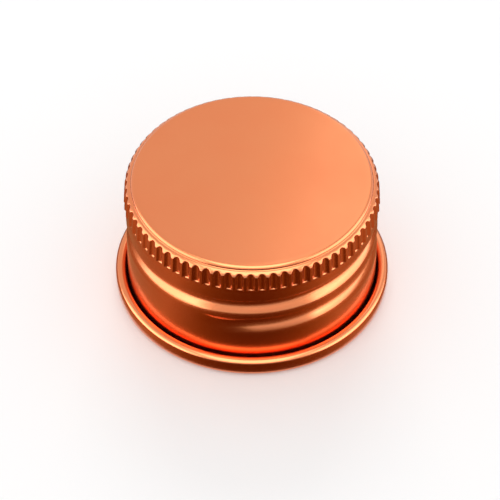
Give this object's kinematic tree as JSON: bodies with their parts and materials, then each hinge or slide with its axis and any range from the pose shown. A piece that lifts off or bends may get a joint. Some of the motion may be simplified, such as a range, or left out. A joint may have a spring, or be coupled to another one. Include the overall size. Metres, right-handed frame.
{
  "type": "metal screw cap",
  "caption": "Drawn aluminium bottle cap with a raised flat top, a knurled band, a rolled helical thread and a curled rim, with a plain liner disc inside.",
  "frame": {"origin": "centre of the curled rim, on the plane that the cap stands on", "axes": "+Z along the cap's axis, from the open mouth to the closed top; -Y is the side that faces the camera in the picture"},
  "size_m": [0.0308, 0.0308, 0.0154],
  "materials": {
    "anodised_aluminium": "satin, coated in a copper orange",
    "liner_plastic": "matt white plastic"
  },
  "bodies": {
    "root": {"cap_shell": "anodised_aluminium", "sealing_liner": "liner_plastic"}
  },
  "joints": []
}
